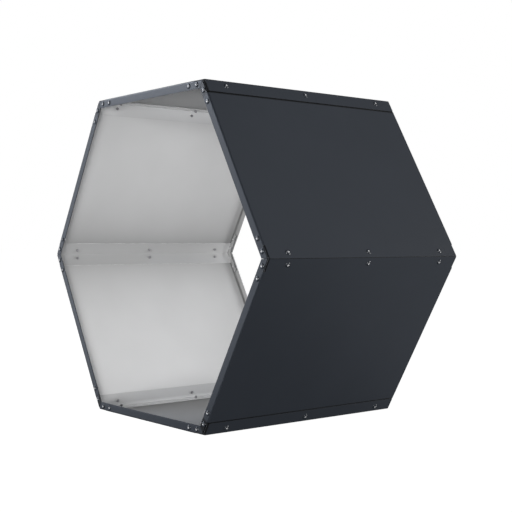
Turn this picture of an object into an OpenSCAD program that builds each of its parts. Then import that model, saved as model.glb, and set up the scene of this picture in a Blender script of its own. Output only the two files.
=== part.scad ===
// Open hexagonal barrel shell: six folded sheet panels, riveted over inner joint strips at
// the ridges and over corner gussets behind the lips.
// Frame: origin on the ground under the middle, +X across the shell from the left ridge to
// the right ridge, +Y from the front opening to the back opening, +Z up.

/* [Shell] */
// Side of the outer hexagon
side = 350; // [250:5:450]
// Depth between the front and back lip faces
depth = 452; // [300:2:600]
// Thickness of the panels and the gussets
sheet = 1.5; // [1:0.25:2]

/* [Folds] */
// Width of the lips folded inwards at both openings
lip_w = 15.5; // [14:0.5:18]
// Radius of the lips' outer corners at the ridges
lip_corner_r = 8; // [4:1:14]
// Width of the flanges that the top and bottom panels fold over the slanted panels
flange_w = 25; // [20:1:35]
// Length of the relief notch at each panel corner, from the ridge
relief_len = 25; // [20:1:30]
// How far the relief cuts back the panel's edge, from the lip face
relief_d = 3.2; // [3:0.1:8]
// How far the relief cuts back the lip's edge, from the panel's outer face
relief_drop = 2.5; // [2:0.25:3]
// Gap between neighbouring panels at a mitre
seam = 0.6; // [0.2:0.1:0.8]

/* [Joining pieces] */
// Width of each leg of the inner joint strips
strip_w = 27; // [20:1:35]
// Thickness of the inner joint strips
strip_t = 1; // [0.8:0.1:1.5]
// Length of each leg of the corner gussets
gusset_len = 52; // [48:1:60]

/* [Rivets] */
// Rivet shank diameter
shank_d = 4.8; // [4:0.2:5]
// Rivet head diameter
head_d = 9.5; // [8:0.5:10]
// Rivet head height
head_h = 1.5; // [1:0.1:2]
// Diameter of the set tail on the blind side
tail_d = 6; // [5.6:0.2:7]
// Length of the set tail
tail_l = 4.5; // [4:0.5:6]
// Rivet hole diameter
hole_d = 5; // [5:0.1:5.4]
// Distance of the ridge rivets from their ridge
ridge_inset = 11.5; // [10:0.5:14]
// Distance of the first and last rivet stations from the lip faces
station_inset = 45; // [30:1:60]
// Distance of the first lip rivet from the ridge
lip_rivet_near = 18; // [15:0.5:20]
// Distance of the second lip rivet from the ridge
lip_rivet_far = 41.5; // [35:0.5:42]
// Depth of the lip rivets below the panel's outer face
lip_rivet_drop = 8; // [7.5:0.25:8.5]

/* [Hidden] */
$fn = 48;

// Distance from the shell's axis to the outer face of each side
apothem = side * cos(30);
// Height of the shell's axis: the bottom rivet heads stand on the ground
axis_h = head_h + apothem;
// Rivet stations along the depth
stations = [-depth / 2 + station_inset, 0, depth / 2 - station_inset];
// Places of the lip rivets along a side, from the middle
lip_rivet_x = [side / 2 - lip_rivet_near, side / 2 - lip_rivet_far];
// A slanted panel stops here below the top or bottom panel, from the ridge
tuck = sheet / cos(30) + seam;
// Gap left between a gusset and the sheet around it
gusset_gap = 0.1;
// How far the joint strips end behind the lip faces, just clear of the folds
strip_setback = 2.6;
// Radius of a gusset's corner at its ridge
gusset_corner_r = 1.5;
// How far a gusset's inner edge stands back from the lips' inner edges
gusset_setback = 3;
// Overshoot of the cutting solids
cut = 1;

anthracite = "#3a3f45";
pale_grey = "#c6c8ca";
steel = "#a9abad";

// Side k's own frame: k steps of 60 degrees clockwise from the top, seen from the front.
// +Z points out of the side, X runs along it, and its right-hand end is ridge k.
module on_side(k) translate([0, 0, axis_h]) rotate([0, 60 * k, 0]) children();

// Ridge k's own frame, between sides k and k + 1: +Z points out through the ridge
module on_ridge(k) translate([0, 0, axis_h]) rotate([0, 60 * k + 30, 0]) children();

// Turns a front piece into the matching back piece
module at_end(back) rotate([0, 0, back ? 180 : 0]) children();

// Extrudes a cross-section drawn in X and Z along the depth, about the middle
module along_depth(length) rotate([90, 0, 0]) linear_extrude(length, center = true) children();

// Sheet piece in the plane of an opening, its front face at y = from
module in_opening(from) translate([0, from + sheet / 2, 0]) along_depth(sheet) children();

module mirrored_pair() {
    children();
    mirror([1, 0, 0]) children();
}

// ---- Panels, in their side's frame ----

// One lip: mitred at both ridges. Its ends stand clear of the relief and have round corners.
module lip() {
    low = apothem - lip_w;
    low_x = low * tan(30) - seam / 2;
    tab = apothem - relief_drop;
    tab_x = tab * tan(30) - seam / 2;
    round_x = (tab - lip_corner_r) * tan(30);
    full_x = side / 2 - relief_len;
    difference() {
        in_opening(-depth / 2) {
            intersection() {
                polygon([[-low_x, low], [low_x, low], [tab_x, tab], [-tab_x, tab]]);
                union() {
                    translate([-round_x, low]) square([2 * round_x, tab - low]);
                    for (x = [-round_x, round_x])
                        translate([x, tab - lip_corner_r]) circle(lip_corner_r);
                }
            }
            translate([-full_x, low]) square([2 * full_x, lip_w]);
        }
        for (x = lip_rivet_x)
            mirrored_pair() translate([x, -depth / 2, apothem - lip_rivet_drop])
                rotate([90, 0, 0]) cylinder(d = hole_d, h = 4 * sheet, center = true);
    }
}

// Rivet holes along the right-hand edge of a side, through the sheet between two heights
module ridge_holes(low, high)
    for (y = stations)
        translate([side / 2 - ridge_inset, y, low]) cylinder(d = hole_d, h = high - low);

// Relief notches at the front and back of a side's right-hand edge
module relief_notches()
    for (y = [-depth / 2, depth / 2])
        translate([side / 2 - relief_len, y - relief_d, apothem - sheet - cut])
            cube([relief_len + flange_w, 2 * relief_d, sheet + 2 * cut]);

// Slanted panel: it butts at its right-hand ridge and is tucked under the flange at its left
module slanted_panel() {
    butt = side / 2 - seam / 2;
    difference() {
        along_depth(depth) polygon([
            [-side / 2 + tuck, apothem], [butt, apothem],
            [butt - sheet * tan(30), apothem - sheet], [-side / 2 + tuck, apothem - sheet]
        ]);
        mirrored_pair() {
            ridge_holes(apothem - sheet - cut, apothem + cut);
            relief_notches();
        }
    }
    for (back = [false, true]) at_end(back) lip();
}

// Flat panel: its flanges fold over the slanted panels on both sides
module flat_panel() {
    bend_out = [side / 2 + sheet / cos(30), apothem];
    bend_in = [side / 2 + sheet * tan(30), apothem - sheet];
    end_out = bend_out + flange_w * [cos(60), -sin(60)];
    end_in = end_out - sheet * [cos(30), sin(30)];
    right = [bend_out, end_out, end_in, bend_in];
    left = [for (i = [3:-1:0]) [-right[i][0], right[i][1]]];
    difference() {
        along_depth(depth) polygon(concat(right, left));
        mirrored_pair() {
            ridge_holes(apothem - sheet - cut, apothem + cut);
            rotate([0, 60, 0]) mirror([1, 0, 0]) ridge_holes(apothem - cut, apothem + sheet + cut);
            flange_setback();
        }
    }
    for (back = [false, true]) at_end(back) lip();
}

// The flange and the edge beside it stop short of the lips by the depth of the relief
module flange_setback()
    for (y = [-depth / 2, depth / 2])
        translate([side / 2 - relief_len, y - relief_d, apothem - flange_w - cut])
            cube([relief_len + flange_w, 2 * relief_d, flange_w + 2 * cut]);

// ---- Joining pieces, in their ridge's frame ----

// V-shaped cross-section along both sides of a ridge, between two distances from the axis
module chevron(outer, inner, leg) {
    run = [cos(30), -sin(30)];
    out = [0, outer / cos(30)];
    out_end = out + leg * run;
    in_end = out_end - (outer - inner) * [sin(30), cos(30)];
    polygon([
        out, out_end, in_end, [0, inner / cos(30)],
        [-in_end[0], in_end[1]], [-out_end[0], out_end[1]]
    ]);
}

// Bent strip behind a ridge, between the front and back gussets
module joint_strip() difference() {
    along_depth(depth - 2 * strip_setback)
        chevron(apothem - sheet, apothem - sheet - strip_t, strip_w);
    mirrored_pair() rotate([0, -30, 0])
        ridge_holes(apothem - sheet - strip_t - cut, apothem - sheet + cut);
}

// V-shaped plate behind the lips at a ridge, narrower than they are and rounded like them
module gusset_outline() {
    outer = apothem - max(relief_drop, sheet + strip_t) - gusset_gap;
    centre = [0, (outer - gusset_corner_r) / cos(30)];
    tangent = centre + gusset_corner_r * [sin(30), cos(30)];
    run = side * [cos(30), -sin(30)];
    intersection() {
        chevron(outer, apothem - lip_w + gusset_setback, gusset_len);
        union() {
            translate(centre) circle(gusset_corner_r);
            mirrored_pair() polygon([centre, tangent, tangent + run, centre + run]);
        }
    }
}

module gusset() difference() {
    in_opening(-depth / 2 + sheet) gusset_outline();
    for (x = lip_rivet_x)
        mirrored_pair() rotate([0, -30, 0])
            translate([x, -depth / 2 + 1.5 * sheet, apothem - lip_rivet_drop])
                rotate([90, 0, 0]) cylinder(d = hole_d, h = 3 * sheet, center = true);
}

// ---- Rivets ----

// Set blind rivet along Z: its head stands on z = 0 and it grips the sheet below.
// Each shape is a list of [share of the radius, share of the height] points.
module rivet(grip) {
    bore = shank_d / 4;
    dome = [[0.5, 1], [0.8, 0.75], [0.96, 0.4], [1, 0]];
    bulge = [[1, 0.25], [1, 0.55]];
    mandrel_end = 0.45;
    bulge_end = 0.75;
    rotate_extrude() polygon(concat(
        [[0, head_h * mandrel_end], [bore, head_h * mandrel_end], [bore, head_h]],
        [for (p = dome) [p[0] * head_d / 2, p[1] * head_h]],
        [[shank_d / 2, 0], [shank_d / 2, -grip]],
        [for (p = bulge) [p[0] * tail_d / 2, -grip - p[1] * tail_l]],
        [[shank_d / 2, -grip - bulge_end * tail_l], [bore, -grip - tail_l], [0, -grip - tail_l]]
    ));
}

// Rivets along both edges of the top or bottom panel, through the panel and the joint strips
module flat_side_rivets()
    for (y = stations)
        mirrored_pair() translate([side / 2 - ridge_inset, y, apothem]) rivet(sheet + strip_t);

// Rivets along both edges of a slanted panel: those at its left go through the flange too
module slanted_side_rivets()
    for (y = stations) {
        translate([side / 2 - ridge_inset, y, apothem]) rivet(sheet + strip_t);
        translate([-side / 2 + ridge_inset, y, apothem + sheet]) rivet(2 * sheet + strip_t);
    }

// Rivets through the lips and the gusset at a ridge
module lip_rivets() {
    for (x = lip_rivet_x)
        mirrored_pair() rotate([0, -30, 0])
            translate([x, -depth / 2, apothem - lip_rivet_drop])
                rotate([90, 0, 0]) rivet(2 * sheet);
}

// ---- Nodes ----

module top_panel() color(anthracite) on_side(0) flat_panel();
module upper_right_panel() color(anthracite) on_side(1) slanted_panel();
module lower_right_panel() color(anthracite) on_side(2) mirror([1, 0, 0]) slanted_panel();
module bottom_panel() color(anthracite) on_side(3) flat_panel();
module lower_left_panel() color(anthracite) on_side(4) slanted_panel();
module upper_left_panel() color(anthracite) on_side(5) mirror([1, 0, 0]) slanted_panel();
module ridge_strip(k) color(pale_grey) on_ridge(k) joint_strip();
module corner_gusset(k, back) color(anthracite) at_end(back) on_ridge(back ? 5 - k : k) gusset();
module corner_rivets(k, back) color(steel) at_end(back) on_ridge(back ? 5 - k : k) lip_rivets();
module top_panel_rivets() color(steel) on_side(0) flat_side_rivets();
module upper_right_panel_rivets() color(steel) on_side(1) slanted_side_rivets();
module lower_right_panel_rivets() color(steel) on_side(2) mirror([1, 0, 0]) slanted_side_rivets();
module bottom_panel_rivets() color(steel) on_side(3) flat_side_rivets();
module lower_left_panel_rivets() color(steel) on_side(4) slanted_side_rivets();
module upper_left_panel_rivets() color(steel) on_side(5) mirror([1, 0, 0]) slanted_side_rivets();

top_panel();
upper_right_panel();
lower_right_panel();
bottom_panel();
lower_left_panel();
upper_left_panel();
ridge_strip(0);  // top_right_joint_strip
ridge_strip(1);  // right_joint_strip
ridge_strip(2);  // bottom_right_joint_strip
ridge_strip(3);  // bottom_left_joint_strip
ridge_strip(4);  // left_joint_strip
ridge_strip(5);  // top_left_joint_strip
corner_gusset(0, false);  // front_top_right_gusset
corner_gusset(1, false);  // front_right_gusset
corner_gusset(2, false);  // front_bottom_right_gusset
corner_gusset(3, false);  // front_bottom_left_gusset
corner_gusset(4, false);  // front_left_gusset
corner_gusset(5, false);  // front_top_left_gusset
corner_gusset(0, true);  // back_top_right_gusset
corner_gusset(1, true);  // back_right_gusset
corner_gusset(2, true);  // back_bottom_right_gusset
corner_gusset(3, true);  // back_bottom_left_gusset
corner_gusset(4, true);  // back_left_gusset
corner_gusset(5, true);  // back_top_left_gusset
top_panel_rivets();
upper_right_panel_rivets();
lower_right_panel_rivets();
bottom_panel_rivets();
lower_left_panel_rivets();
upper_left_panel_rivets();
corner_rivets(0, false);  // front_top_right_lip_rivets
corner_rivets(1, false);  // front_right_lip_rivets
corner_rivets(2, false);  // front_bottom_right_lip_rivets
corner_rivets(3, false);  // front_bottom_left_lip_rivets
corner_rivets(4, false);  // front_left_lip_rivets
corner_rivets(5, false);  // front_top_left_lip_rivets
corner_rivets(0, true);  // back_top_right_lip_rivets
corner_rivets(1, true);  // back_right_lip_rivets
corner_rivets(2, true);  // back_bottom_right_lip_rivets
corner_rivets(3, true);  // back_bottom_left_lip_rivets
corner_rivets(4, true);  // back_left_lip_rivets
corner_rivets(5, true);  // back_top_left_lip_rivets
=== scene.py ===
import math

import bmesh
import bpy
import numpy as np
from mathutils import Matrix, Vector
from mathutils.geometry import delaunay_2d_cdt


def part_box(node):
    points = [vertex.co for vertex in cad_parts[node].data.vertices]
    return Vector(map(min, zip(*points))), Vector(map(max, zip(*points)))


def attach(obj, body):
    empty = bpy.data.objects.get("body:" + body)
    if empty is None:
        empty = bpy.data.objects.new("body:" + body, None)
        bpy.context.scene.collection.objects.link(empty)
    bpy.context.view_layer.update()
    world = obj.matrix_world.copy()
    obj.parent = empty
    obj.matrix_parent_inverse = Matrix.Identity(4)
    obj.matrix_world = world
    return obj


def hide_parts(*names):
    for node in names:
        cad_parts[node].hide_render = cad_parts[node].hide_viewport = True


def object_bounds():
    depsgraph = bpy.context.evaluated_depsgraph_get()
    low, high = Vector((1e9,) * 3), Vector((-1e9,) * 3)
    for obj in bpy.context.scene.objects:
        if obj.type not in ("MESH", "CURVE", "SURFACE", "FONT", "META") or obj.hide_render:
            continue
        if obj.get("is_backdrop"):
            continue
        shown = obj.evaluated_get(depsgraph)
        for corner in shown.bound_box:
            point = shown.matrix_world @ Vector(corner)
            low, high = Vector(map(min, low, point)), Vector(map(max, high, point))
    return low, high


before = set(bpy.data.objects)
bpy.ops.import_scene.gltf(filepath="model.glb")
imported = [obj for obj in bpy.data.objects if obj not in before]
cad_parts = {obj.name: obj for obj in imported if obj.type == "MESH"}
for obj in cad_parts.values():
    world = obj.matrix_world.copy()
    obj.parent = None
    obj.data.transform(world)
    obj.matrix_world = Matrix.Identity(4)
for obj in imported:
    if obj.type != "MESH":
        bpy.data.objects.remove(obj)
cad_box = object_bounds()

# Looks of an open hexagonal barrel shell of folded, powder-coated sheet, joined by blind
# rivets. Every sheet piece is drawn as the flat blank it was cut from and then folded. Metres.

# ---- Sizes taken from the frame ----
top_low, top_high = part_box("top_panel")
bottom_low, bottom_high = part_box("bottom_panel")
gusset_low, gusset_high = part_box("front_right_gusset")
DEPTH = top_high.y - top_low.y
APOTHEM = (top_high.z - bottom_low.z) / 2
AXIS_H = (top_high.z + bottom_low.z) / 2
SHEET = gusset_high.y - gusset_low.y
HEAD_H = bottom_low.z

# ---- Shell ----
RIDGE_TURN = math.radians(60)
SIDE = 2 * APOTHEM * math.tan(RIDGE_TURN / 2)
BEND_R = 0.0025
BEND_STEPS = 8
LIP_W = 0.0155
LIP_CORNER_R = 0.008
FLANGE_W = 0.025
RELIEF_LEN = 0.025
RELIEF_D = 0.0032
RELIEF_DROP = 0.0025
NOTCH_R = 0.0012
CORNER_R = 0.0012
SEAM = 0.0006
STRIP_W = 0.027
STRIP_T = 0.001
GUSSET_LEN = 0.052
GUSSET_GAP = 0.0001
GUSSET_CORNER_R = 0.0015
STRIP_SETBACK = 0.0026
GUSSET_SETBACK = 0.003
EDGE_R = 0.0003
# How far from the middle of a lip's fold the painted shade in its inside corner starts to fade, and
# where it ends
LIP_FOLD_SHADE = (0.0032, 0.0065)
# The same for the painted shadow along a flange's edge, for the panel under it, clockwise from the
# top
FLANGE_SHADE = (None, (0.0018, 0.0034), (0.0004, 0.0018), None, (0.0004, 0.0018), (0.0018, 0.0034))
# How dark the painted shade on the inner faces of the lips is, as a share of that in the fold beside
# them
LIP_FACE_SHADE = 0.43
# Zones of painted shade and painted light on the coat inside: the direction they are measured in,
# from where, their distance from there and the length over which they fade
SHADE_AT_RIDGES = ("Z", AXIS_H, 0, 0.065)
SHADE_AT_STRIPS = ("X", 0, 0.148, 0.05)
# Painted light behind the front lips and, on the strips, by the back lips, where those lips cast
# shadow
PAINTED_LIGHT_FRONT = ("Y", DEPTH / 2, DEPTH - 0.016, 0.006)
PAINTED_LIGHT_BACK = ("Y", -DEPTH / 2, DEPTH - 0.006, 0.03)
# How pale each panel is inside, with painted light and shade for the way it faces, clockwise from
# the top
INSIDE_TONE_WITH_SHADE = (0.68, 0.62, 0.70, 0.51, 0.74, 0.65)
# How much painted shade darkens each panel in the middle of its shaded zone, clockwise from the top
PAINTED_SHADE_SHARE = (0.5, 0.5, 0.5, 0.5, 0.56, 0.66)
# How far the painted light near the openings covers the panels' and the strips' own tone
PANEL_PAINTED_LIGHT_SHARE = 0.9
STRIP_PAINTED_LIGHT_SHARES = (0.9, 0.6)
# How pale each joint strip is, with painted light and shade in that tone, clockwise from the top
# right one, and how far from the ridge the painted light on a strip's level leg fades out on its
# slanted leg
STRIP_TONE_WITH_SHADE = (0.68, 0.44, 0.57, 0.58, 0.44, 0.65)
STRIP_FADE = (0.027, None, 0.004, 0.004, None, 0.027)
ARC_STEP = math.radians(12)

# ---- Rivets ----
HOLE_R = 0.0025
SHANK_R = 0.0024
HEAD_R = 0.00475
CREST_R = 0.0019
HEAD_FLAT_R = 0.0025
MANDREL_R = 0.0009
# Shares of the head's height: the dish round the mandrel, and the upright edge of the dome
DISH_DEPTH = 0.55
HEAD_EDGE = 0.06
HEAD_EDGE_INSET = 0.0001
TAIL_R = 0.0028
TAIL_L = 0.0045
# Shares of the tail's length: where the sleeve ends and where the mandrel's head starts
SLEEVE_END = 0.7
BALL_START = 0.72
# The mandrel's head as a share of the shank, and how square the sleeve's bulge is
BALL_SHARE = 0.8
BULGE_POWER = 0.6
TURNS = 32
# A ring of the rivet that is narrower than this is one point
POINT_R = 1e-7
# How far each rivet of a row is turned from the last one
RIVET_SPIN = 2.4
RIDGE_INSET = 0.0115
STATION_INSET = 0.045
LIP_RIVET_INSETS = (0.018, 0.0415)
LIP_RIVET_DROP = 0.008

# What the rivets hold together: panel and strip, flange as well, lip and gusset
RIDGE_GRIP = SHEET + STRIP_T
FLANGE_GRIP = 2 * SHEET + STRIP_T
LIP_GRIP = 2 * SHEET

STATIONS = (-DEPTH / 2 + STATION_INSET, 0, DEPTH / 2 - STATION_INSET)
LIP_RIVETS = [SIDE / 2 - inset for inset in LIP_RIVET_INSETS]
# The sharp corner that two sheet planes one thickness apart from the ridge's would make
STEP_IN = SHEET * math.tan(RIDGE_TURN / 2)
LIP_START = DEPTH / 2 - BEND_R
LIP_MIDDLE = LIP_START + BEND_R * math.pi / 4
FLANGE_START = SIDE / 2 + SHEET / math.cos(RIDGE_TURN / 2) - BEND_R * math.tan(RIDGE_TURN / 2)
FLANGE_EDGE = SIDE / 2 - STEP_IN - FLANGE_W

SIDE_NAMES = ("top", "upper_right", "lower_right", "bottom", "lower_left", "upper_left")
RIDGE_NAMES = ("top_right", "right", "bottom_right", "bottom_left", "left", "top_left")
# The top and the bottom, which carry the flanges
LEVEL_SIDES = (0, 3)


# ---- Frames ----

def about_axis(angle):
    """Turns the top side's or the top ridge's own frame round the shell's axis."""
    return Matrix.Translation((0, 0, AXIS_H)) @ Matrix.Rotation(angle, 4, "Y")


def side_frame(k):
    """Sides 2 and 5 are mirror images of sides 1 and 4."""
    mirrored = Matrix.Scale(-1, 4, (1, 0, 0)) if k in (2, 5) else Matrix.Identity(4)
    return about_axis(RIDGE_TURN * k) @ mirrored


def ridge_frame(k):
    """Ridge k lies between sides k and k + 1."""
    return about_axis(RIDGE_TURN * (k + 0.5))


def end_frame(k, back):
    """Ridge k at the front opening, or at the back one."""
    if not back:
        return ridge_frame(k)
    return Matrix.Rotation(math.pi, 4, "Z") @ ridge_frame(5 - k)


# ---- Blanks: outlines of flat sheet, as (u, v) points ----

def fillet(corners):
    """Closed outline through (u, v, radius) corners, each rounded to its radius."""
    outline = []
    for i, (u, v, radius) in enumerate(corners):
        here = Vector((u, v))
        if not radius:
            outline.append(here)
            continue
        to_last = (Vector(corners[i - 1][:2]) - here).normalized()
        to_next = (Vector(corners[(i + 1) % len(corners)][:2]) - here).normalized()
        half = to_last.angle(to_next) / 2
        centre = here + (to_last + to_next).normalized() * radius / math.sin(half)
        first = here + to_last * radius / math.tan(half) - centre
        sweep = first.angle_signed(here + to_next * radius / math.tan(half) - centre)
        steps = max(2, math.ceil(abs(sweep) / ARC_STEP))
        for j in range(steps + 1):
            outline.append(centre + Matrix.Rotation(-sweep * j / steps, 2) @ first)
    return outline


def hole(u, v):
    steps = 24
    angles = [-2 * math.pi * i / steps for i in range(steps)]
    return [Vector((u + HOLE_R * math.cos(a), v + HOLE_R * math.sin(a))) for a in angles]


def past_fold(distance):
    """Distance on the blank from a ridge fold's start to a point that far from its sharp corner."""
    return BEND_R * RIDGE_TURN + distance - BEND_R * math.tan(RIDGE_TURN / 2)


def lip_v(drop):
    """Place on the blank of a lip point that far below the panel's outer face."""
    if drop < BEND_R:
        return LIP_START + BEND_R * math.acos(1 - drop / BEND_R)
    return LIP_START + BEND_R * math.pi / 2 + drop - BEND_R


def lip_end():
    """The lip's right-hand end: its top edge, its round corner, its mitre and its inner corner."""
    tab = APOTHEM - RELIEF_DROP
    slope = math.tan(RIDGE_TURN / 2)
    round_z = tab - LIP_CORNER_R
    round_x = round_z * slope
    mitre = math.acos(-SEAM / 2 * math.cos(RIDGE_TURN / 2) / LIP_CORNER_R) - RIDGE_TURN / 2
    steps = 6
    points = [(SIDE / 2 - RELIEF_LEN, lip_v(RELIEF_DROP), NOTCH_R)]
    for i in range(steps + 1):
        a = math.pi / 2 + (mitre - math.pi / 2) * i / steps
        z = round_z + LIP_CORNER_R * math.sin(a)
        points.append((round_x + LIP_CORNER_R * math.cos(a), lip_v(APOTHEM - z), 0))
    low_x = (APOTHEM - LIP_W) * slope - SEAM / 2
    points.append((low_x, lip_v(LIP_W), CORNER_R / 2))
    return points


def panel_blank(left, right, corner_r):
    """Panel with a lip at both ends. Its right-hand and left-hand edges are at those places."""
    edge = DEPTH / 2 - RELIEF_D
    notch = SIDE / 2 - RELIEF_LEN
    end = lip_end()
    back = [(right, edge, corner_r), (notch, edge, NOTCH_R), *end]
    back += [(-u, v, r) for u, v, r in reversed(end)]
    back += [(-notch, edge, NOTCH_R), (left, edge, corner_r)]
    front = [(u, -v, r) for u, v, r in reversed(back)]
    return fillet(back + front)


def lip_holes():
    v = lip_v(LIP_RIVET_DROP)
    ends = (-1, 1)
    return [hole(end * u, side * v) for u in LIP_RIVETS for end in ends for side in ends]


def lip_creases():
    """Lines across the blank where the lips' folds turn and where the painted shade in them fades.
    """
    turns = [LIP_START + BEND_R * math.pi / 2 * i / BEND_STEPS for i in range(BEND_STEPS + 1)]
    turns += [LIP_MIDDLE + side * away for away in LIP_FOLD_SHADE for side in (-1, 1)]
    return [((-SIDE, side * v), (SIDE, side * v)) for v in turns for side in (-1, 1)]


def flange_creases(k):
    """Lines along panel k where the painted shadow beside its neighbour's flange fades."""
    turns = [away - FLANGE_EDGE for away in FLANGE_SHADE[k]]
    return [((u, -DEPTH), (u, DEPTH)) for u in turns]


def ridge_creases(start, turn):
    """Lines along the blank where its two ridge folds turn."""
    steps = [start + BEND_R * turn * i / BEND_STEPS for i in range(BEND_STEPS + 1)]
    return [((side * u, -DEPTH), (side * u, DEPTH)) for u in steps for side in (-1, 1)]


# ---- Painted shade and painted light: 1 where their colour covers the coat's own, 0 where it doesn't show ----

def fading(away, near, far):
    """1 up to the near distance and 0 from the far one."""
    return min(max((far - away) / (far - near), 0), 1)


# No painted shade and no painted light on the piece
def no_painted_light_or_shade(u, v, outside):
    return 0


def lip_fold_shade(u, v, outside):
    """Painted shade inside, in the corner of a lip's fold, and less so on the lip."""
    face_shade = LIP_FACE_SHADE if abs(v) > LIP_MIDDLE else 0
    return 0 if outside else max(face_shade, fading(abs(abs(v) - LIP_MIDDLE), *LIP_FOLD_SHADE))


def under_flange(k):
    """For panel k: painted shade in its lip folds inside, and painted shadow outside along its
    neighbour's flange.
    """
    def painted_light_shade(u, v, outside):
        return fading(u + FLANGE_EDGE, *FLANGE_SHADE[k]) if outside else lip_fold_shade(u, v, outside)
    return painted_light_shade


def near_level_leg(k):
    """For joint strip k: painted light inside, on the leg against the top or the bottom panel."""
    if STRIP_FADE[k] is None:
        return no_painted_light_or_shade
    level = -1 if k in LEVEL_SIDES else 1
    return lambda u, v, outside: 0 if outside else fading(-level * u, 0, STRIP_FADE[k])


# ---- Folding ----

def fold(s, start, turn, inward):
    """Where the blank's point s lies once it is folded: how far along and how far below."""
    past = abs(s) - start
    if past <= 0:
        return s, inward
    angle = min(past / BEND_R, turn)
    straight = max(past - BEND_R * turn, 0)
    along = start + (BEND_R - inward) * math.sin(angle) + straight * math.cos(angle)
    below = BEND_R - (BEND_R - inward) * math.cos(angle) + straight * math.sin(angle)
    return math.copysign(along, s), below


def folded_flat_panel(u, v, inward):
    x, below_u = fold(u, FLANGE_START, RIDGE_TURN, inward)
    y, below_v = fold(v, LIP_START, math.pi / 2, inward)
    return Vector((x, y, APOTHEM - below_u - below_v + inward))


def folded_slanted_panel(u, v, inward):
    """Its butting edge, on the right, is cut back to the mitre through the thickness."""
    y, below = fold(v, LIP_START, math.pi / 2, inward)
    mitre_from = SIDE / 2 - 2 * SHEET
    share = min(max((u - mitre_from) / (2 * SHEET), 0), 1)
    return Vector((u - share * inward * math.tan(RIDGE_TURN / 2), y, APOTHEM - below))


def folded_strip(u, v, inward):
    """Thinner than the panels that it lies against."""
    inward *= STRIP_T / SHEET
    sharp = (APOTHEM - SHEET) / math.cos(RIDGE_TURN / 2)
    crown = sharp - BEND_R * (1 / math.cos(RIDGE_TURN / 2) - 1)
    x, below = fold(u, 0, RIDGE_TURN / 2, inward)
    return Vector((x, v, crown - below))


def flat_gusset(u, v, inward):
    return Vector((u, -DEPTH / 2 + SHEET + inward, v))


# ---- Sheet pieces ----

def inside(points, loops):
    """Which points lie in the outline and not in its holes, by counting crossings."""
    crossed = np.zeros(len(points), int)
    for loop in loops:
        a = np.array(loop)
        b = np.roll(a, -1, axis=0)
        above_a = a[None, :, 1] > points[:, 1:]
        above_b = b[None, :, 1] > points[:, 1:]
        rise = np.where(b[:, 1] == a[:, 1], 1, b[:, 1] - a[:, 1])
        at = a[:, 0] + (points[:, 1:] - a[:, 1]) / rise * (b[:, 0] - a[:, 0])
        crossed += ((above_a != above_b) & (points[:, :1] < at)).sum(1)
    return crossed % 2 == 1


def triangulated(loops, creases):
    """Points and triangles of the blank, with an edge along every crease."""
    points, edges = [], []
    for loop in loops:
        first = len(points)
        points += loop
        edges += [(first + i, first + (i + 1) % len(loop)) for i in range(len(loop))]
    for start, end in creases:
        edges.append((len(points), len(points) + 1))
        points += [Vector(start), Vector(end)]
    smallest = 1e-6
    points, _, faces, *_ = delaunay_2d_cdt(points, edges, [], 0, smallest)
    points = np.array(points)
    faces = np.array(faces)
    return points, faces[inside(points[faces].mean(1), loops)]


def rim_directions(points, faces):
    """The step inwards from the blank's rim at each rim point, and the point that follows it."""
    around = {(int(f[i]), int(f[(i + 1) % 3])) for f in faces for i in range(3)}
    following = {a: b for a, b in around if (b, a) not in around}
    before = {b: a for a, b in following.items()}
    steps = {}
    for here, after in following.items():
        sides = []
        for a, b in ((before[here], here), (here, after)):
            run = points[b] - points[a]
            sides.append(np.array((-run[1], run[0])) / np.hypot(*run))
        steps[here] = (sides[0] + sides[1]) / (1 + sides[0] @ sides[1])
    return steps, following


def edge_profile():
    """Half-round edge of the sheet: steps inwards from the rim and through the thickness."""
    quarter = [math.radians(a) for a in (30, 60, 90)]
    upper = [(EDGE_R * (1 - math.sin(a)), EDGE_R * (1 - math.cos(a))) for a in quarter]
    lower = [(inset, SHEET - depth) for inset, depth in reversed(upper)]
    return upper + lower


def sheet_piece(
    name, loops, creases, placed, matrix, finishes, painted_light_shade=no_painted_light_or_shade, ends=math.inf, pale_end=math.inf
):
    """Solid sheet with rounded edges, folded by placed(). Finishes: outside, inside and edge.
    The edge takes the outside's finish past the places called ends, towards the front and the
    back, and the inside's past pale_end, towards the back."""
    points, faces = triangulated(loops, creases)
    steps, following = rim_directions(points, faces)
    bm = bmesh.new()
    worn = bm.verts.layers.float.new("edge")
    # The corner attribute: where painted shade and painted light cover the coat
    corner = bm.verts.layers.float.new("corner")

    def add(i, inset, inward, wear=0.0):
        u, v = points[i] + inset * steps.get(i, np.zeros(2))
        vert = bm.verts.new(matrix @ placed(u, v, inward))
        vert[worn] = wear
        vert[corner] = painted_light_shade(u, v, inward < SHEET / 2)
        return vert

    used = sorted({int(i) for f in faces for i in f})
    outer = {i: add(i, EDGE_R, 0) for i in used}
    inner = {i: add(i, EDGE_R, SHEET) for i in used}
    rims = [outer, *({i: add(i, *place, 1.0) for i in steps} for place in edge_profile()), inner]
    for a, b, c in faces:
        bm.faces.new((outer[a], outer[b], outer[c])).material_index = 0
        bm.faces.new((inner[c], inner[b], inner[a])).material_index = 1
    for upper, lower in zip(rims, rims[1:]):
        for a, b in following.items():
            edge = bm.faces.new((upper[b], upper[a], lower[a], lower[b]))
            v_a, v_b = points[a][1], points[b][1]
            at_end = 0 if min(abs(v_a), abs(v_b)) > ends else 2
            edge.material_index = 1 if min(v_a, v_b) > pale_end else at_end
    bmesh.ops.recalc_face_normals(bm, faces=bm.faces)
    return finished(name, bm, finishes)


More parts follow.
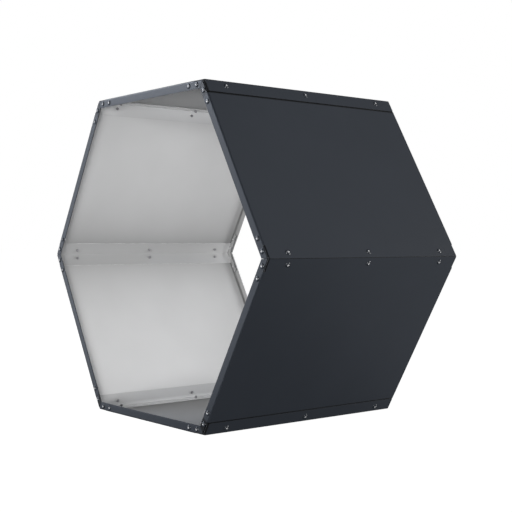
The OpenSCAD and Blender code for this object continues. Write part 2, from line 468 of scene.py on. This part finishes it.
def finished(name, bm, finishes):
    """Smooth piece of the mesh, with its finishes in the order of the faces' indices."""
    mesh = bpy.data.meshes.new(name)
    for face in bm.faces:
        face.smooth = True
    bm.to_mesh(mesh)
    bm.free()
    for finish in finishes:
        mesh.materials.append(finish)
    piece = bpy.data.objects.new(name, mesh)
    bpy.context.scene.collection.objects.link(piece)
    weighted = piece.modifiers.new("even_shading", "WEIGHTED_NORMAL")
    weighted.mode = "FACE_AREA"
    weighted.weight = 80
    return piece


def stands_for(piece, node):
    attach(piece, "root")
    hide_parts(node)


def flat_panel(k, finishes):
    """Top or bottom panel, with a flange over each of its neighbours."""
    right = FLANGE_START + past_fold(FLANGE_W)
    on_face = SIDE / 2 - RIDGE_INSET
    on_flange = FLANGE_START + past_fold(RIDGE_INSET - STEP_IN)
    holes = [hole(side * u, v) for u in (on_face, on_flange) for v in STATIONS for side in (-1, 1)]
    loops = [panel_blank(-right, right, 2 * CORNER_R), *holes, *lip_holes()]
    creases = lip_creases() + ridge_creases(FLANGE_START, RIDGE_TURN)
    node = SIDE_NAMES[k] + "_panel"
    piece = sheet_piece(
        node + "_folded", loops, creases, folded_flat_panel, side_frame(k), finishes,
        lip_fold_shade, LIP_START, lip_v(LIP_W) - CORNER_R,
    )
    stands_for(piece, node)


def slanted_panel(k, finishes):
    """Its left-hand edge lies under a flange, and its right-hand one butts at a side ridge."""
    left = -SIDE / 2 + SHEET / math.cos(RIDGE_TURN / 2) + SEAM
    right = SIDE / 2 - SEAM / 2
    on_face = SIDE / 2 - RIDGE_INSET
    holes = [hole(side * on_face, v) for v in STATIONS for side in (-1, 1)]
    loops = [panel_blank(left, right, CORNER_R), *holes, *lip_holes()]
    node = SIDE_NAMES[k] + "_panel"
    creases = lip_creases() + flange_creases(k)
    piece = sheet_piece(
        node + "_folded", loops, creases, folded_slanted_panel, side_frame(k), finishes,
        under_flange(k), LIP_START, lip_v(LIP_W) - CORNER_R,
    )
    stands_for(piece, node)


def joint_strip(k, finishes):
    """Bent strip behind ridge k, riveted to the panels on both sides of it."""
    half_l = DEPTH / 2 - STRIP_SETBACK
    half_w = past_fold(STRIP_W) - BEND_R * RIDGE_TURN / 2
    on_leg = past_fold(RIDGE_INSET - STEP_IN) - BEND_R * RIDGE_TURN / 2
    corners = [(half_w, -half_l), (half_w, half_l), (-half_w, half_l), (-half_w, -half_l)]
    holes = [hole(side * on_leg, v) for v in STATIONS for side in (-1, 1)]
    loops = [fillet([(u, v, CORNER_R) for u, v in corners]), *holes]
    creases = ridge_creases(0, RIDGE_TURN / 2)
    node = RIDGE_NAMES[k] + "_joint_strip"
    piece = sheet_piece(
        node + "_bent", loops, creases, folded_strip, ridge_frame(k), finishes,
        near_level_leg(k), half_l - CORNER_R / 2,
    )
    stands_for(piece, node)


def gusset_blank():
    """V-shaped plate, narrower than the lips that it backs."""
    outer = APOTHEM - RELIEF_DROP - GUSSET_GAP
    inner = APOTHEM - LIP_W + GUSSET_SETBACK
    cos, sin = math.cos(RIDGE_TURN / 2), math.sin(RIDGE_TURN / 2)
    end = Vector((0, outer / cos)) + GUSSET_LEN * Vector((cos, -sin))
    end_in = end - (outer - inner) * Vector((sin, cos))
    right = [(*end_in, CORNER_R), (*end, 2 * CORNER_R)]
    left = [(-u, v, r) for u, v, r in reversed(right)]
    return fillet([(0, inner / cos, CORNER_R), *right, (0, outer / cos, GUSSET_CORNER_R), *left])


def gusset(k, back, finishes):
    turn = Matrix.Rotation(-RIDGE_TURN / 2, 2)
    places = []
    for u in LIP_RIVETS:
        along, height = turn @ Vector((u, APOTHEM - LIP_RIVET_DROP))
        places += [(along, height), (-along, height)]
    node = f"{'back' if back else 'front'}_{RIDGE_NAMES[k]}_gusset"
    loops = [gusset_blank(), *(hole(u, v) for u, v in places)]
    piece = sheet_piece(node + "_plate", loops, [], flat_gusset, end_frame(k, back), finishes)
    stands_for(piece, node)


# ---- Rivets ----

def head_profile():
    """Radius and height from the mandrel's broken end, up the dish round it and down the dome."""
    steps = 5
    turns = [math.pi * i / steps for i in range(steps + 1)]
    dish = [
        (MANDREL_R + (CREST_R - MANDREL_R) * t / math.pi, 1 - DISH_DEPTH * (1 + math.cos(t)) / 2)
        for t in turns
    ]
    steps = 9
    angles = [math.pi / 2 * i / steps for i in range(steps - 1, 0, -1)]
    wide = HEAD_R - HEAD_FLAT_R
    dome = [(HEAD_FLAT_R, 1), *((HEAD_FLAT_R + wide * math.cos(a), math.sin(a)) for a in angles)]
    profile = [(r, share * HEAD_H) for r, share in [(0, 1 - DISH_DEPTH), *dish, *dome]]
    return profile + [(HEAD_R, HEAD_EDGE * HEAD_H), (HEAD_R - HEAD_EDGE_INSET, 0), (SHANK_R, 0)]


def tail_profile(grip):
    """Shank, the sleeve bulged against the blind side, and the mandrel's round head."""
    steps = 6
    profile = [(SHANK_R, -grip)]
    for i in range(1, steps):
        a = math.pi * i / steps
        bulge = (TAIL_R - SHANK_R) * math.sin(a) ** BULGE_POWER
        down = SLEEVE_END / 2 * (1 - math.cos(a))
        profile.append((SHANK_R + bulge, -grip - TAIL_L * down))
    profile.append((SHANK_R, -grip - TAIL_L * SLEEVE_END))
    steps = 4
    for i in range(steps + 1):
        a = math.pi / 2 * i / steps
        down = BALL_START + (1 - BALL_START) * math.sin(a)
        profile.append((BALL_SHARE * SHANK_R * math.cos(a), -grip - TAIL_L * down))
    return profile


def rivet_mesh(grip):
    """One set blind rivet along Z, with its head on z = 0. Finishes: head, tail and mandrel."""
    head = head_profile()
    profile = head + tail_profile(grip)
    bm = bmesh.new()
    rings = []
    for r, z in profile:
        if r < POINT_R:
            rings.append([bm.verts.new((0, 0, z))] * TURNS)
            continue
        angles = [2 * math.pi * i / TURNS for i in range(TURNS)]
        rings.append([bm.verts.new((r * math.cos(a), r * math.sin(a), z)) for a in angles])
    for j, (upper, lower) in enumerate(zip(rings, rings[1:])):
        for i in range(TURNS):
            n = (i + 1) % TURNS
            corners = list(dict.fromkeys((upper[i], lower[i], lower[n], upper[n])))
            on_head = 2 if profile[j + 1][0] <= CREST_R else 0
            bm.faces.new(corners).material_index = 1 if j > len(head) - 2 else on_head
    bmesh.ops.recalc_face_normals(bm, faces=bm.faces)
    mesh = bpy.data.meshes.new("rivet")
    bm.to_mesh(mesh)
    bm.free()
    return mesh


def rivet_row(node, places, rivets, finishes):
    """The rivets of one CAD node. Each place is a matrix and the rivet's grip."""
    bm = bmesh.new()
    for i, (matrix, grip) in enumerate(places):
        spin = Matrix.Rotation(RIVET_SPIN * i, 4, "Z")
        first = len(bm.verts)
        bm.from_mesh(rivets[grip])
        bm.verts.ensure_lookup_table()
        bmesh.ops.transform(bm, matrix=matrix @ spin, verts=bm.verts[first:])
    bmesh.ops.recalc_face_normals(bm, faces=bm.faces)
    piece = finished(node + "_set", bm, finishes)
    stands_for(piece, node)


def side_rivets(k, rivets, finishes):
    """Those at a slanted panel's left-hand edge go through the flange too."""
    right = SIDE / 2 - RIDGE_INSET
    level = k in LEVEL_SIDES
    left_z, left_grip = (APOTHEM, RIDGE_GRIP) if level else (APOTHEM + SHEET, FLANGE_GRIP)
    places = []
    for y in STATIONS:
        places.append((side_frame(k) @ Matrix.Translation((right, y, APOTHEM)), RIDGE_GRIP))
        places.append((side_frame(k) @ Matrix.Translation((-right, y, left_z)), left_grip))
    rivet_row(SIDE_NAMES[k] + "_panel_rivets", places, rivets, finishes)


def lip_rivets(k, back, rivets, finishes):
    """Those on both sides of the lip corner at ridge k."""
    places = []
    for side in (-1, 1):
        turn = Matrix.Rotation(-side * RIDGE_TURN / 2, 4, "Y")
        for u in LIP_RIVETS:
            spot = Matrix.Translation((side * u, -DEPTH / 2, APOTHEM - LIP_RIVET_DROP))
            upright = Matrix.Rotation(math.pi / 2, 4, "X")
            places.append((end_frame(k, back) @ turn @ spot @ upright, LIP_GRIP))
    node = f"{'back' if back else 'front'}_{RIDGE_NAMES[k]}_lip_rivets"
    rivet_row(node, places, rivets, finishes)


# ---- Materials ----

def grey(tone):
    return (tone,) * 3


WHITE = grey(1)
# Colour, worn colour, colour of the painted shade and light, roughness and gloss of the coats
ANTHRACITE = ((0.032, 0.037, 0.046), (0.09, 0.095, 0.105), grey(0.003), 0.3, 0.5)
# A darker copy of the anthracite: painted shade on edges, strip backs and gusset fronts in shadow
SHADED = ((0.012, 0.013, 0.016), (0.02, 0.022, 0.025), grey(0.01), 0.5, 0.2)
GUSSET_COAT = (grey(0.36), grey(0.45), grey(0.2), 0.5, 0.4)
RIVET_COAT = ((0.036, 0.041, 0.05), grey(0.09), grey(0.03), 0.2, 0.7)
# The same without the colour, which differs from one piece to the next
PALE = (grey(0.75), grey(0.2), 0.5, 0.4)
# The strips' worn colour is edge wear and also a painted highlight; their corner colour is painted
# light
STRIP = (grey(0.9), grey(0.92), 0.15, 1)
# Colour, roughness and how metallic the rivets' bare parts are
MANDREL = ((0.62, 0.62, 0.63), 0.35, 0.3)
DULL_TAIL = ((0.3, 0.3, 0.31), 0.4, 0.3)
BRIGHT_TAIL = ((0.55, 0.55, 0.56), 0.4, 0.3)


class Nodes:
    """A material's node tree, with short calls for the nodes that the finishes share."""

    def __init__(self, name):
        self.material = bpy.data.materials.new(name)
        self.material.use_nodes = True
        self.tree = self.material.node_tree
        self.shader = self.tree.nodes["Principled BSDF"]
        self.place = self.add("ShaderNodeTexCoord").outputs["Object"]

    def add(self, kind, **inputs):
        node = self.tree.nodes.new(kind)
        for key, value in inputs.items():
            node.inputs[key.replace("_", " ")].default_value = value
        return node

    def link(self, out, socket):
        self.tree.links.new(out, socket)

    def noise(self, size, detail=3.0, roughness=0.5):
        """Noise whose features measure about size, in metres."""
        node = self.add("ShaderNodeTexNoise", Scale=1 / size, Detail=detail, Roughness=roughness)
        self.link(self.place, node.inputs["Vector"])
        return node.outputs["Fac"]

    def spread(self, value, low, high, from_low=0.3, from_high=0.7):
        """Maps a noise value to a range."""
        node = self.add("ShaderNodeMapRange")
        for key, number in zip(("From Min", "From Max", "To Min", "To Max"),
                               (from_low, from_high, low, high)):
            node.inputs[key].default_value = number
        self.link(value, node.inputs["Value"])
        return node.outputs["Result"]

    def attribute(self, name):
        """A value that the mesh code wrote on each point."""
        node = self.add("ShaderNodeAttribute")
        node.attribute_name = name
        return node.outputs["Fac"]

    def maths(self, operation, a, b=None):
        """Each of a and b is a number or a socket."""
        node = self.add("ShaderNodeMath")
        node.operation = operation
        for socket, value in zip(node.inputs, (a, b)):
            if isinstance(value, (int, float)):
                socket.default_value = value
            elif value:
                self.link(value, socket)
        return node.outputs["Value"]

    def near(self, direction, middle, distance, fade):
        """1 at that distance to either side of the middle, fading away from there."""
        split = self.add("ShaderNodeSeparateXYZ")
        self.link(self.place, split.inputs["Vector"])
        off = self.maths("ABSOLUTE", self.maths("SUBTRACT", split.outputs[direction], middle))
        away = self.maths("ABSOLUTE", self.maths("SUBTRACT", off, distance))
        return self.maths("POWER", math.exp(-1 / fade), away)

    def mix(self, share, a, b):
        """Blend of two colours, each a tuple or a socket."""
        node = self.add("ShaderNodeMix")
        node.data_type = "RGBA"
        self.link(share, node.inputs["Factor"])
        for key, value in (("A", a), ("B", b)):
            socket = [s for s in node.inputs if s.name == key and s.type == "RGBA"][0]
            if isinstance(value, tuple):
                socket.default_value = (*value, 1)
            else:
                self.link(value, socket)
        return [s for s in node.outputs if s.type == "RGBA"][0]

    def bump(self, height, strength, distance, under=None):
        node = self.add("ShaderNodeBump", Strength=strength, Distance=distance)
        self.link(height, node.inputs["Height"])
        if under:
            self.link(under, node.inputs["Normal"])
        return node.outputs["Normal"]

    def finish(self, colour, roughness, normal):
        self.link(colour, self.shader.inputs["Base Color"])
        self.link(roughness, self.shader.inputs["Roughness"])
        self.link(normal, self.shader.inputs["Normal"])
        return self.material


def powder_coat(name, colour, worn_colour, painted_light_shade_colour, roughness, gloss, zones=()):
    """Baked powder coat: orange peel, faint cloudiness, a thinner film on edges, painted shade and
    light from the corner attribute, and zones of painted shade and light, each with its share and
    tone of grey."""
    n = Nodes(name)
    cloud = n.noise(size=0.12, detail=2)
    speck = n.noise(size=0.0016, detail=2)
    pale = tuple(min(1.0, c * 1.03) for c in colour)
    dark = tuple(c * 0.97 for c in colour)
    base = n.mix(n.spread(cloud, 0, 1), dark, pale)
    base = n.mix(n.spread(speck, 0, 0.35), base, pale)
    # Zones of painted shade and painted light
    for zone, share, tone in zones:
        base = n.mix(n.maths("MULTIPLY", n.near(*zone), share), base, grey(tone))
    patchy = n.spread(n.noise(size=0.018, detail=4), 0.1, 0.75, from_low=0.4, from_high=0.65)
    base = n.mix(n.maths("MULTIPLY", n.attribute("edge"), patchy), base, worn_colour)
    # Painted shade in the lips' folds and along the flanges, painted light on the strips' level legs
    base = n.mix(n.attribute("corner"), base, painted_light_shade_colour)
    sheen = n.noise(size=0.05)
    rough = n.spread(sheen, roughness - 0.03, roughness + 0.04, from_low=0.1, from_high=0.9)
    peel = n.bump(n.noise(size=0.0022, detail=1), strength=0.2, distance=0.00005)
    n.shader.inputs["Specular IOR Level"].default_value = gloss
    return n.finish(base, rough, peel)


def panel_inside(k):
    """Pale coat of panel k, with painted shade near its strips or side ridges and, on the slanted
    panels, painted light just behind the front opening.
    """
    if k in LEVEL_SIDES:
        zones = [(SHADE_AT_STRIPS, PAINTED_SHADE_SHARE[k], 0)]
    else:
        zones = [(SHADE_AT_RIDGES, PAINTED_SHADE_SHARE[k], 0), (PAINTED_LIGHT_FRONT, PANEL_PAINTED_LIGHT_SHARE, 0.95)]
    return powder_coat("pale_coat_" + SIDE_NAMES[k], grey(INSIDE_TONE_WITH_SHADE[k]), *PALE, zones)


def strip_coat(k):
    """Glossy pale coat of joint strip k, with painted light near both openings."""
    zones = [(place, share, 0.9) for place, share in zip((PAINTED_LIGHT_FRONT, PAINTED_LIGHT_BACK), STRIP_PAINTED_LIGHT_SHARES)]
    return powder_coat("strip_coat_" + RIDGE_NAMES[k], grey(STRIP_TONE_WITH_SHADE[k]), *STRIP, zones)


def rivet_metal(name, colour, roughness, metallic):
    """Drawn and polished metal with fine tool marks and a few dull patches."""
    n = Nodes(name)
    patches = n.noise(size=0.0025, detail=3)
    dull = tuple(c * 0.7 for c in colour)
    base = n.mix(n.spread(patches, 0, 1, from_low=0.45, from_high=0.75), colour, dull)
    rough = n.spread(n.noise(size=0.0009, detail=3), roughness - 0.06, roughness + 0.1)
    marks = n.bump(n.noise(size=0.0005, detail=2), strength=0.2, distance=0.00003)
    n.shader.inputs["Metallic"].default_value = metallic
    return n.finish(base, rough, marks)


def floor_paint():
    n = Nodes("pale_floor")
    tint = n.mix(n.spread(n.noise(size=0.6), 0, 1), grey(0.13), grey(0.15))
    rough = n.spread(n.noise(size=0.2), 0.7, 0.8)
    grain = n.bump(n.noise(size=0.02), strength=0.05, distance=0.0005)
    n.shader.inputs["Emission Color"].default_value = (*WHITE, 1)
    n.shader.inputs["Emission Strength"].default_value = 1.0
    return n.finish(tint, rough, grain)


# ---- Studio ----

COOL = (0.9, 0.97, 1.1)
# Light from all around, apart from the soft lights
ROOM = (0.004, 0.0042, 0.0045)
# Place, width, height, power and colour of each soft light
LIGHTS = {
    "key_right": ((4.1, -3.7, 0.3), 2.4, 2.0, 81, WHITE),
    "key_front": ((3.15, -4.5, 0.3), 2.4, 2.0, 160, WHITE),
    "left_level": ((-4.2, -2.7, 0.3), 2.4, 2.0, 21, COOL),
    "left_high": ((-3.8, -2.4, 2.4), 2.4, 2.0, 86, COOL),
    "behind_level": ((2.8, 4.3, 0.35), 2.4, 2.0, 132, WHITE),
    "behind_high": ((2.6, 4.1, 1.7), 2.4, 2.0, 22, WHITE),
    "sheen_high": ((1.7, 2.7, 3.3), 2.4, 2.0, 5.5, COOL),
    "sheen_low": ((1.58, 3.56, -1.95), 2.4, 2.0, 4.4, COOL),
}
FLOOR_R = 30
# The camera's place from the middle of the front opening, and its lens
CAMERA_PLACE = (1.5766, -1.012, 0.0273)
CAMERA_TILT = math.radians(89.18)
CAMERA_TURN = math.radians(51.18)
CAMERA_LENS = 71.51


def soft_light(name, place, width, height, power, tint):
    """Lamp that the camera doesn't see, aimed at the shell's middle."""
    data = bpy.data.lights.new(name, "AREA")
    data.shape = "RECTANGLE"
    data.size = width
    data.size_y = height
    data.energy = power
    data.color = tint
    lamp = bpy.data.objects.new(name, data)
    lamp.location = place
    lamp.visible_camera = False
    aim = Vector((0, 0, AXIS_H)) - Vector(place)
    lamp.rotation_euler = aim.to_track_quat("-Z", "Y").to_euler()
    bpy.context.scene.collection.objects.link(lamp)


def studio():
    """White surroundings as the camera sees them, and a shaded room as the object does."""
    world = bpy.data.worlds.new("studio")
    bpy.context.scene.world = world
    world.use_nodes = True
    tree = world.node_tree
    room = tree.nodes["Background"]
    room.inputs["Color"].default_value = (*ROOM, 1)
    white = tree.nodes.new("ShaderNodeBackground")
    white.inputs["Color"].default_value = (*WHITE, 1)
    seen = tree.nodes.new("ShaderNodeLightPath")
    mix = tree.nodes.new("ShaderNodeMixShader")
    tree.links.new(seen.outputs["Is Camera Ray"], mix.inputs["Fac"])
    tree.links.new(room.outputs["Background"], mix.inputs[1])
    tree.links.new(white.outputs["Background"], mix.inputs[2])
    tree.links.new(mix.outputs["Shader"], tree.nodes["World Output"].inputs["Surface"])
    bpy.context.scene.view_settings.view_transform = "Standard"
    for name, settings in LIGHTS.items():
        soft_light(name, *settings)


def floor():
    """White floor that neither lights the shell nor shades it."""
    bm = bmesh.new()
    bmesh.ops.create_circle(bm, cap_ends=True, radius=FLOOR_R, segments=96)
    mesh = bpy.data.meshes.new("floor")
    bm.to_mesh(mesh)
    bm.free()
    mesh.materials.append(floor_paint())
    ground = bpy.data.objects.new("floor", mesh)
    ground.visible_diffuse = False
    ground.visible_glossy = False
    ground.visible_shadow = False
    bpy.context.scene.collection.objects.link(ground)
    ground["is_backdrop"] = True


def camera():
    """About as high as the shell's middle, to the right of the front opening."""
    data = bpy.data.cameras.new("camera")
    data.lens = CAMERA_LENS
    eye = bpy.data.objects.new("camera", data)
    opening = Vector((0, -DEPTH / 2, AXIS_H))
    eye.location = opening + Vector(CAMERA_PLACE)
    eye.rotation_euler = (CAMERA_TILT, 0, CAMERA_TURN)
    bpy.context.scene.collection.objects.link(eye)
    bpy.context.scene.camera = eye


# ---- The shell ----

def build():
    anthracite = powder_coat("anthracite_coat", *ANTHRACITE)
    # Painted shade: a darker anthracite for shadowed edges, strip backs and gusset fronts
    shaded = powder_coat("shaded_anthracite", *SHADED)
    gusset_back = powder_coat("gusset_coat", *GUSSET_COAT)
    head = powder_coat("rivet_coat", *RIVET_COAT)
    mandrel = rivet_metal("mandrel_steel", *MANDREL)
    dull_tail = rivet_metal("rivet_tail_steel", *DULL_TAIL)
    bright_tail = rivet_metal("lip_rivet_tail_steel", *BRIGHT_TAIL)
    rivets = {grip: rivet_mesh(grip) for grip in (RIDGE_GRIP, FLANGE_GRIP, LIP_GRIP)}
    for k in range(6):
        strip = strip_coat(k)
        make = flat_panel if k in LEVEL_SIDES else slanted_panel
        make(k, [anthracite, panel_inside(k), shaded])
        joint_strip(k, [shaded, strip, strip])
        side_rivets(k, rivets, [head, dull_tail, mandrel])
        for back in (False, True):
            gusset(k, back, [shaded, gusset_back, anthracite])
            lip_rivets(k, back, rivets, [head, bright_tail, mandrel])


camera()
studio()
floor()
build()

boxes = {"cad": cad_box, "visual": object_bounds()}
{name: [list(corner) for corner in box] for name, box in boxes.items()}
